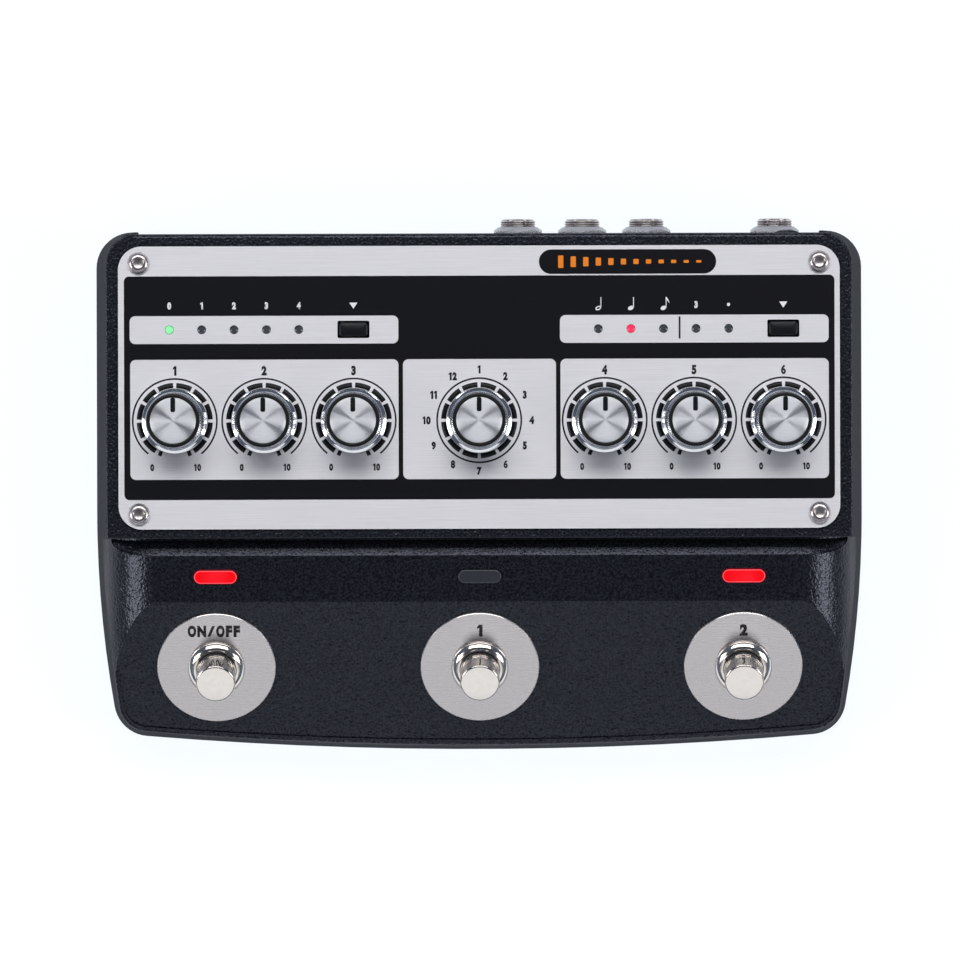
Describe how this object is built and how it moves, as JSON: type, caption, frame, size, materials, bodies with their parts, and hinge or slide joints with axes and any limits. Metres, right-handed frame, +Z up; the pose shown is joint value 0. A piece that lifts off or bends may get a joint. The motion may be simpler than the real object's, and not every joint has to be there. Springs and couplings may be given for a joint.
{
  "type": "delay pedal",
  "caption": "Desktop delay pedal: cast case with a raised block of turning knobs, lamps and push buttons, a sloping deck of sprung foot switches, and plug sockets at the rear.",
  "frame": {"origin": "middle of the footprint on the surface under the rubber feet", "axes": "+X to the player's right along the case, +Y to the rear sockets, +Z up"},
  "size_m": [0.192, 0.1324, 0.052],
  "materials": {
    "case_paint": "black hammered powder coat on a die-cast case",
    "plate_steel": "smooth black paint on sheet steel",
    "foot_rubber": "moulded black rubber",
    "screw_nickel": "bright nickel plate",
    "screw_zinc": "zinc plate",
    "panel_aluminium": "brushed and screen printed aluminium",
    "cap_aluminium": "spun aluminium",
    "knob_plastic": "moulded black plastic with a bright skirt",
    "shaft_metal": "turned aluminium",
    "pot_metal": "pressed steel can",
    "board_laminate": "green solder mask on glass laminate",
    "chip_plastic": "moulded chip packages",
    "lamp_green": "lit green lamp",
    "lamp_red": "lit red lamp",
    "lamp_unlit": "unlit smoky lamp",
    "bar_red": "lit red light bar",
    "bar_unlit": "unlit smoky light bar",
    "button_plastic": "moulded black plastic",
    "washer_steel": "brushed stainless steel",
    "bright_nickel": "polished nickel plate",
    "housing_plastic": "moulded glass-filled plastic",
    "spring_steel": "spring wire",
    "socket_plastic": "moulded black plastic",
    "lead_insulation": "black insulated lead"
  },
  "bodies": {
    "case": {"base_screws": "screw_zinc", "board_chips": "chip_plastic", "board_link": "socket_plastic", "board_screws": "screw_zinc", "board_spacers": "shaft_metal", "bottom_plate": "plate_steel", "control_board": "board_laminate", "control_panel": "panel_aluminium", "footswitch_collars": "bright_nickel", "footswitch_housings": "housing_plastic", "footswitch_leads": "lead_insulation", "footswitch_washers": "washer_steel", "jack_bodies": "socket_plastic", "jack_nuts": "bright_nickel", "jack_sleeves": "bright_nickel", "lamp_green": "lamp_green", "lamp_red": "lamp_red", "lamps_unlit": "lamp_unlit", "light_bar_board": "board_laminate", "light_bar_unlit": "bar_unlit", "light_bars_lit": "bar_red", "main_board": "board_laminate", "midi_sockets": "socket_plastic", "panel_screws": "screw_nickel", "plunger_springs": "spring_steel", "pot_bodies": "pot_metal", "pot_nuts": "pot_metal", "power_inlet": "socket_plastic", "rubber_feet": "foot_rubber", "selector_body": "pot_metal", "tact_switches": "socket_plastic", "top_case": "case_paint", "usb_port": "pot_metal"},
    "left_knob_1": {"shaft_1": "shaft_metal", "knob_1": "knob_plastic", "knob_cap_1": "cap_aluminium"},
    "left_knob_2": {"shaft_2": "shaft_metal", "knob_2": "knob_plastic", "knob_cap_2": "cap_aluminium"},
    "left_knob_3": {"shaft_3": "shaft_metal", "knob_3": "knob_plastic", "knob_cap_3": "cap_aluminium"},
    "right_knob_1": {"shaft_4": "shaft_metal", "knob_4": "knob_plastic", "knob_cap_4": "cap_aluminium"},
    "right_knob_2": {"shaft_5": "shaft_metal", "knob_5": "knob_plastic", "knob_cap_5": "cap_aluminium"},
    "right_knob_3": {"shaft_6": "shaft_metal", "knob_6": "knob_plastic", "knob_cap_6": "cap_aluminium"},
    "selector": {"selector_shaft": "shaft_metal", "selector_knob": "knob_plastic", "selector_cap": "cap_aluminium"},
    "foot_left": {"plunger_left": "bright_nickel"},
    "foot_middle": {"plunger_middle": "bright_nickel"},
    "foot_right": {"plunger_right": "bright_nickel"},
    "button_left": {"left_button": "button_plastic"},
    "button_right": {"right_button": "button_plastic"}
  },
  "joints": [
    {"name": "left_knob_1_turn", "type": "hinge", "parent": "case", "child": "left_knob_1", "pos_m": [-0.0752, 0.01577, 0.038], "axis": [0, 0, 1], "range_deg": [-150, 150]},
    {"name": "left_knob_2_turn", "type": "hinge", "parent": "case", "child": "left_knob_2", "pos_m": [-0.0531, 0.01577, 0.038], "axis": [0, 0, 1], "range_deg": [-150, 150]},
    {"name": "left_knob_3_turn", "type": "hinge", "parent": "case", "child": "left_knob_3", "pos_m": [-0.031, 0.01577, 0.038], "axis": [0, 0, 1], "range_deg": [-150, 150]},
    {"name": "right_knob_1_turn", "type": "hinge", "parent": "case", "child": "right_knob_1", "pos_m": [0.031, 0.01577, 0.038], "axis": [0, 0, 1], "range_deg": [-150, 150]},
    {"name": "right_knob_2_turn", "type": "hinge", "parent": "case", "child": "right_knob_2", "pos_m": [0.0531, 0.01577, 0.038], "axis": [0, 0, 1], "range_deg": [-150, 150]},
    {"name": "right_knob_3_turn", "type": "hinge", "parent": "case", "child": "right_knob_3", "pos_m": [0.0752, 0.01577, 0.038], "axis": [0, 0, 1], "range_deg": [-150, 150]},
    {"name": "selector_turn", "type": "hinge", "parent": "case", "child": "selector", "pos_m": [0, 0.01577, 0.038], "axis": [0, 0, 1], "continuous": true},
    {"name": "foot_left_press", "type": "slide", "parent": "case", "child": "foot_left", "axis": [0, 0.3987, -0.9171], "range_m": [0, 0.0025], "stiffness_N_per_m": 1500, "springref_m": -0.0015, "deforming": ["plunger_springs"]},
    {"name": "foot_middle_press", "type": "slide", "parent": "case", "child": "foot_middle", "axis": [0, 0.3987, -0.9171], "range_m": [0, 0.0025], "stiffness_N_per_m": 1500, "springref_m": -0.0015, "deforming": ["plunger_springs"]},
    {"name": "foot_right_press", "type": "slide", "parent": "case", "child": "foot_right", "axis": [0, 0.3987, -0.9171], "range_m": [0, 0.0025], "stiffness_N_per_m": 1500, "springref_m": -0.0015, "deforming": ["plunger_springs"]},
    {"name": "button_left_press", "type": "slide", "parent": "case", "child": "button_left", "axis": [0, 0, -1], "range_m": [0, 0.0005], "stiffness_N_per_m": 1200, "springref_m": -0.0005},
    {"name": "button_right_press", "type": "slide", "parent": "case", "child": "button_right", "axis": [0, 0, -1], "range_m": [0, 0.0005], "stiffness_N_per_m": 1200, "springref_m": -0.0005}
  ]
}
